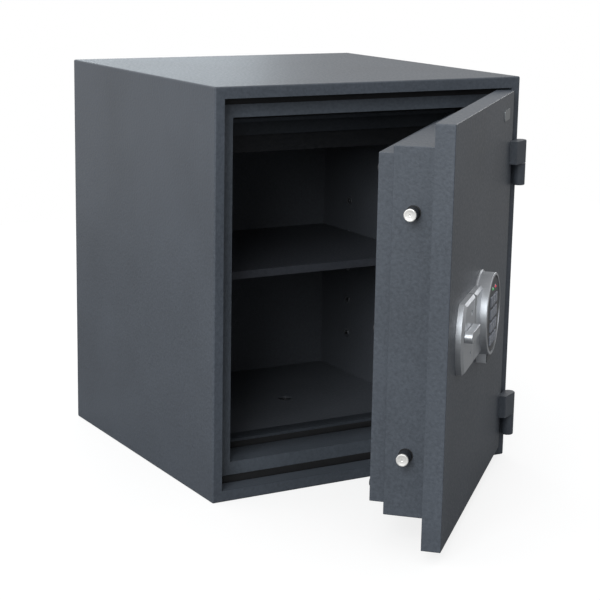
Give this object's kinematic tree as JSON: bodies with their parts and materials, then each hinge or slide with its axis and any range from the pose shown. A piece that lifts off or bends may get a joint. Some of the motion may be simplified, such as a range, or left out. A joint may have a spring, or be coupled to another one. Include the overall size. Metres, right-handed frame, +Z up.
{
  "type": "fire-resistant safe",
  "caption": "Free-standing fire-resistant safe with a thick stepped door, two locking bolts, a round keypad lock, a small turn handle and one shelf.",
  "frame": {"origin": "centre of the base, on the surface that the safe stands on", "axes": "+Z up, the door opening faces -Y, the hinges are on the +X side"},
  "size_m": [0.44, 0.7109, 0.5],
  "materials": {
    "grey_paint": "grey fine-textured powder coat",
    "dark_paint": "dark grey powder coat inside",
    "filling": "cast fire-resistant filling",
    "seal": "matte heat-swelling seal",
    "bright_steel": "bright plated steel",
    "plated_steel": "zinc plated steel",
    "hard_steel": "hardened steel, dark",
    "satin_silver": "satin silver",
    "black_plastic": "matte black",
    "grey_plastic": "matte dark grey",
    "key_grey": "soft grey keys",
    "led": "clear lamp lens",
    "board": "green circuit board",
    "cell": "battery sleeve",
    "brass": "machined brass",
    "die_cast": "zinc die casting"
  },
  "bodies": {
    "safe_body": {"outer_casing": "grey_paint", "body_infill": "filling", "door_frame": "dark_paint", "jamb_sockets": "plated_steel", "inner_liner": "dark_paint", "outer_seal": "seal", "inner_seal": "seal", "header_rail": "dark_paint", "shelf": "dark_paint", "shelf_pins": "plated_steel", "shelf_inserts": "plated_steel", "anchor_sleeve": "plated_steel", "hinge_pins": "plated_steel", "hinge_washers": "plated_steel", "body_knuckles": "grey_paint", "base_plate": "grey_paint"},
    "door": {"door_plate": "grey_paint", "door_infill": "filling", "door_back_plate": "grey_paint", "bolt_box": "grey_paint", "inner_cover": "grey_paint", "cover_infill": "filling", "cover_screws": "plated_steel", "hard_plate": "hard_steel", "hinge_side_dogs": "plated_steel", "badge_plate": "satin_silver", "bolt_bushings": "black_plastic", "guide_studs": "plated_steel", "spindle_bush": "brass", "handle_plate": "satin_silver", "escutcheon_screws": "plated_steel", "lock_case": "die_cast", "keypad_base": "satin_silver", "keypad_housing": "satin_silver", "keypad_fascia": "grey_plastic", "keypad_board": "board", "status_leds": "led", "lower_door_knuckle": "grey_paint", "upper_door_knuckle": "grey_paint"},
    "handle": {"handle_lever": "satin_silver", "handle_spindle": "plated_steel", "drive_cam": "plated_steel"},
    "boltwork": {"locking_bolts": "bright_steel", "carrier_bar": "plated_steel"},
    "lock_bolt": {"lock_bolt": "brass"},
    "battery_drawer": {"battery_tray": "satin_silver", "battery_cells": "cell", "drawer_front": "grey_plastic"},
    "key_1": {"key_1": "key_grey"},
    "key_2": {"key_2": "key_grey"},
    "key_3": {"key_3": "key_grey"},
    "key_4": {"key_4": "key_grey"},
    "key_5": {"key_5": "key_grey"},
    "key_6": {"key_6": "key_grey"},
    "key_7": {"key_7": "key_grey"},
    "key_8": {"key_8": "key_grey"},
    "key_9": {"key_9": "key_grey"},
    "key_clear": {"key_clear": "key_grey"},
    "key_0": {"key_0": "key_grey"},
    "key_enter": {"key_enter": "key_grey"}
  },
  "joints": [
    {"name": "door_swing", "type": "hinge", "parent": "safe_body", "child": "door", "pos_m": [0.215, -0.2168, 0.25], "axis": [0, 0, 1], "range_deg": [-44.4, 135.6]},
    {"name": "handle_turn", "type": "hinge", "parent": "door", "child": "handle", "pos_m": [-0.05052, -0.4652, 0.2466], "axis": [-0.6997, 0.7145, 0], "range_deg": [0, 60]},
    {"name": "bolt_throw", "type": "slide", "parent": "door", "child": "boltwork", "axis": [0.7145, 0.6997, 0], "range_m": [0, 0.022]},
    {"name": "lock_bolt_lift", "type": "slide", "parent": "door", "child": "lock_bolt", "axis": [0, 0, 1], "range_m": [0, 0.008]},
    {"name": "battery_drawer_slide", "type": "slide", "parent": "door", "child": "battery_drawer", "axis": [0, 0, -1], "range_m": [0, 0.05]},
    {"name": "key_1_press", "type": "slide", "parent": "door", "child": "key_1", "axis": [-0.6997, 0.7145, 0], "range_m": [0, 0.0007], "stiffness_N_per_m": 1800},
    {"name": "key_2_press", "type": "slide", "parent": "door", "child": "key_2", "axis": [-0.6997, 0.7145, 0], "range_m": [0, 0.0007], "stiffness_N_per_m": 1800},
    {"name": "key_3_press", "type": "slide", "parent": "door", "child": "key_3", "axis": [-0.6997, 0.7145, 0], "range_m": [0, 0.0007], "stiffness_N_per_m": 1800},
    {"name": "key_4_press", "type": "slide", "parent": "door", "child": "key_4", "axis": [-0.6997, 0.7145, 0], "range_m": [0, 0.0007], "stiffness_N_per_m": 1800},
    {"name": "key_5_press", "type": "slide", "parent": "door", "child": "key_5", "axis": [-0.6997, 0.7145, 0], "range_m": [0, 0.0007], "stiffness_N_per_m": 1800},
    {"name": "key_6_press", "type": "slide", "parent": "door", "child": "key_6", "axis": [-0.6997, 0.7145, 0], "range_m": [0, 0.0007], "stiffness_N_per_m": 1800},
    {"name": "key_7_press", "type": "slide", "parent": "door", "child": "key_7", "axis": [-0.6997, 0.7145, 0], "range_m": [0, 0.0007], "stiffness_N_per_m": 1800},
    {"name": "key_8_press", "type": "slide", "parent": "door", "child": "key_8", "axis": [-0.6997, 0.7145, 0], "range_m": [0, 0.0007], "stiffness_N_per_m": 1800},
    {"name": "key_9_press", "type": "slide", "parent": "door", "child": "key_9", "axis": [-0.6997, 0.7145, 0], "range_m": [0, 0.0007], "stiffness_N_per_m": 1800},
    {"name": "key_clear_press", "type": "slide", "parent": "door", "child": "key_clear", "axis": [-0.6997, 0.7145, 0], "range_m": [0, 0.0007], "stiffness_N_per_m": 1800},
    {"name": "key_0_press", "type": "slide", "parent": "door", "child": "key_0", "axis": [-0.6997, 0.7145, 0], "range_m": [0, 0.0007], "stiffness_N_per_m": 1800},
    {"name": "key_enter_press", "type": "slide", "parent": "door", "child": "key_enter", "axis": [-0.6997, 0.7145, 0], "range_m": [0, 0.0007], "stiffness_N_per_m": 1800}
  ],
  "couplings": [
    {"joint": "handle_turn", "follows": "bolt_throw", "rad_per_m": 47.6}
  ]
}
